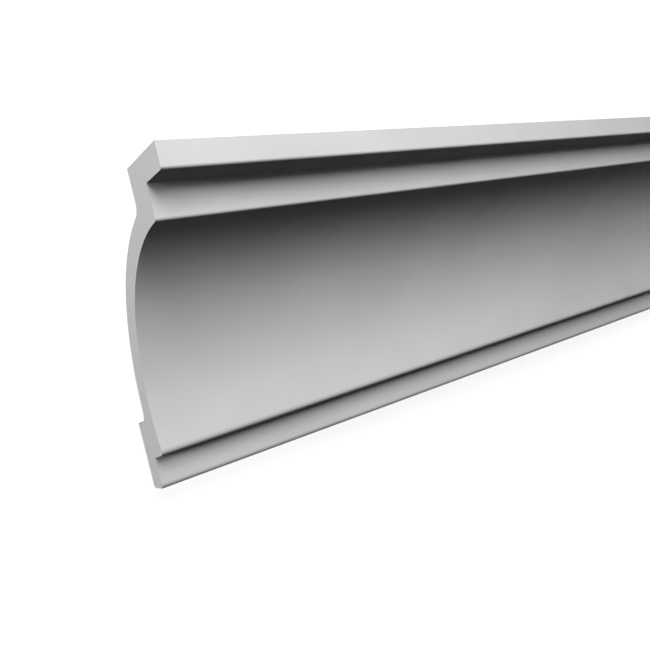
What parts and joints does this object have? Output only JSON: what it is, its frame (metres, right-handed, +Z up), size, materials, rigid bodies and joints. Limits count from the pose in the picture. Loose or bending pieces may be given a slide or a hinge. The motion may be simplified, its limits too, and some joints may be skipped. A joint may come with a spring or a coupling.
{
  "type": "cornice moulding",
  "caption": "Straight length of cove cornice moulding with a stepped top, a curved face, a set-back foot, flat wall and ceiling lands and square-cut ends.",
  "frame": {"origin": "centre of the bounding box's bottom, on the floor that the moulding lies on, face up on its curved back", "axes": "+X along the length, +Z up from the floor, +Y towards the edge that meets the ceiling; the edge that runs down the wall is towards -Y"},
  "size_m": [2, 0.1712, 0.045],
  "materials": {
    "primed_foam": "matt white primer on rigid polyurethane moulding foam, ready to paint"
  },
  "bodies": {
    "root": {"cornice_moulding": "primed_foam"}
  },
  "joints": []
}
